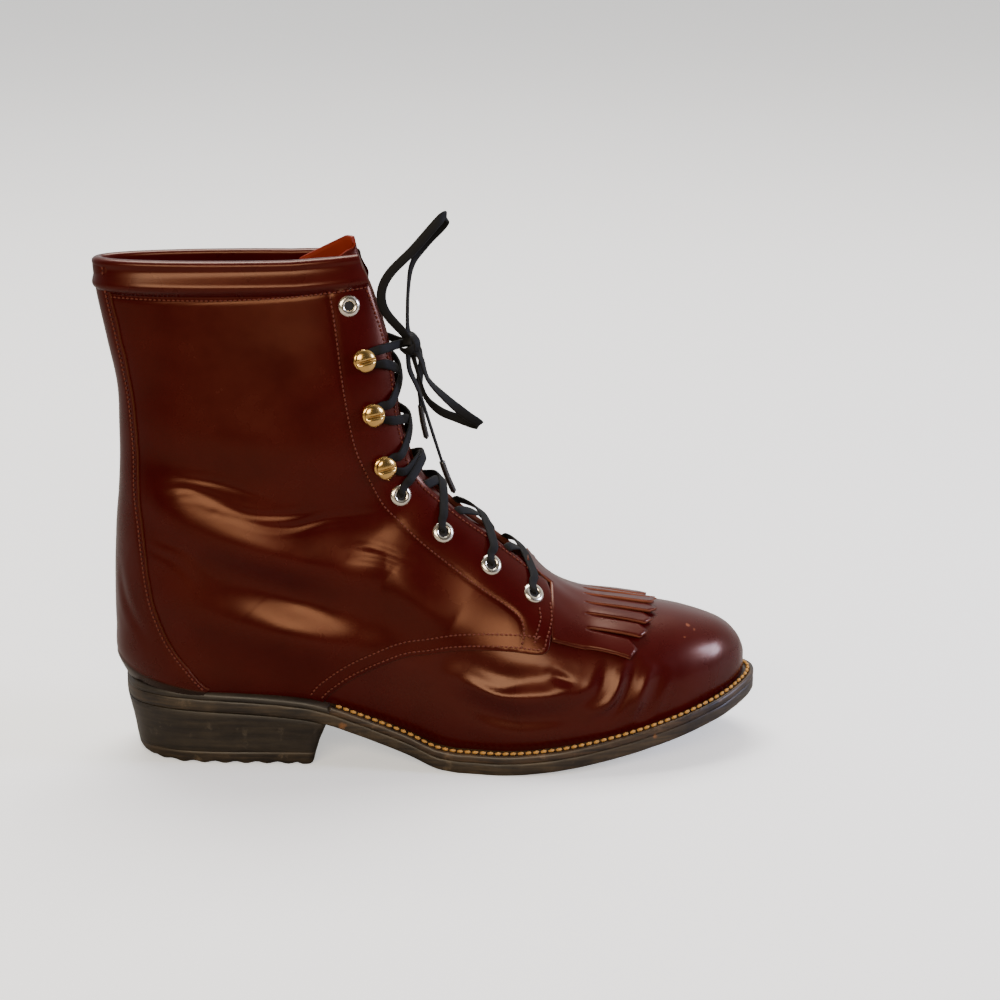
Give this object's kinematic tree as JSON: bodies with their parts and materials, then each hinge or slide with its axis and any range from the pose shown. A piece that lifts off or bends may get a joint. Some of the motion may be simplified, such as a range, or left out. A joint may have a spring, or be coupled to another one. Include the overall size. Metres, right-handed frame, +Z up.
{
  "type": "packer boot",
  "caption": "right-foot laced leather boot with a straight shaft, fringed kiltie, stitched welt and low stacked heel",
  "frame": {"origin": "on the ground under the middle of the boot's box, without its free laces", "axes": "+X runs to the toe, +Y to the inner (medial) side of this right boot, +Z up"},
  "size_m": [0.3116, 0.1028, 0.2571],
  "materials": {
    "upper_leather": "oxblood high-polish smooth leather with a brushed brown shade",
    "tongue_leather": "smooth leather, red on the lining side",
    "insole": "worn vegetable-tanned leather",
    "outsole": "black composition sole, lightly scuffed",
    "heel": "black-brown inked heel stack",
    "welt": "dark inked welt with golden stitching",
    "nickel": "polished nickel",
    "brass": "polished brass",
    "lace": "flat woven black lace"
  },
  "bodies": {
    "root": {"outsole": "outsole", "welt": "welt", "heel_seat_rand": "heel", "heel_stack": "heel", "heel_top_lift": "outsole", "insole": "insole", "upper": "upper_leather", "back_strap": "upper_leather", "collar_band": "upper_leather", "tongue": "tongue_leather", "kiltie": "upper_leather", "eyelet_lateral_1": "nickel", "eyelet_lateral_2": "nickel", "eyelet_lateral_3": "nickel", "eyelet_lateral_4": "nickel", "eyelet_lateral_5": "nickel", "eyelet_medial_1": "nickel", "eyelet_medial_2": "nickel", "eyelet_medial_3": "nickel", "eyelet_medial_4": "nickel", "eyelet_medial_5": "nickel", "hook_lateral_1": "brass", "hook_lateral_2": "brass", "hook_lateral_3": "brass", "hook_medial_1": "brass", "hook_medial_2": "brass", "hook_medial_3": "brass", "lace_bottom_bar": "lace", "lace_top_bar": "lace", "lace_crossing_1": "lace", "lace_crossing_2": "lace", "lace_crossing_3": "lace", "lace_crossing_4": "lace", "lace_crossing_5": "lace", "lace_crossing_6": "lace", "lace_knot": "lace", "lace_loop_up": "lace", "lace_loop_down": "lace", "lace_end_outer": "lace", "lace_end_inner": "lace"}
  },
  "joints": []
}
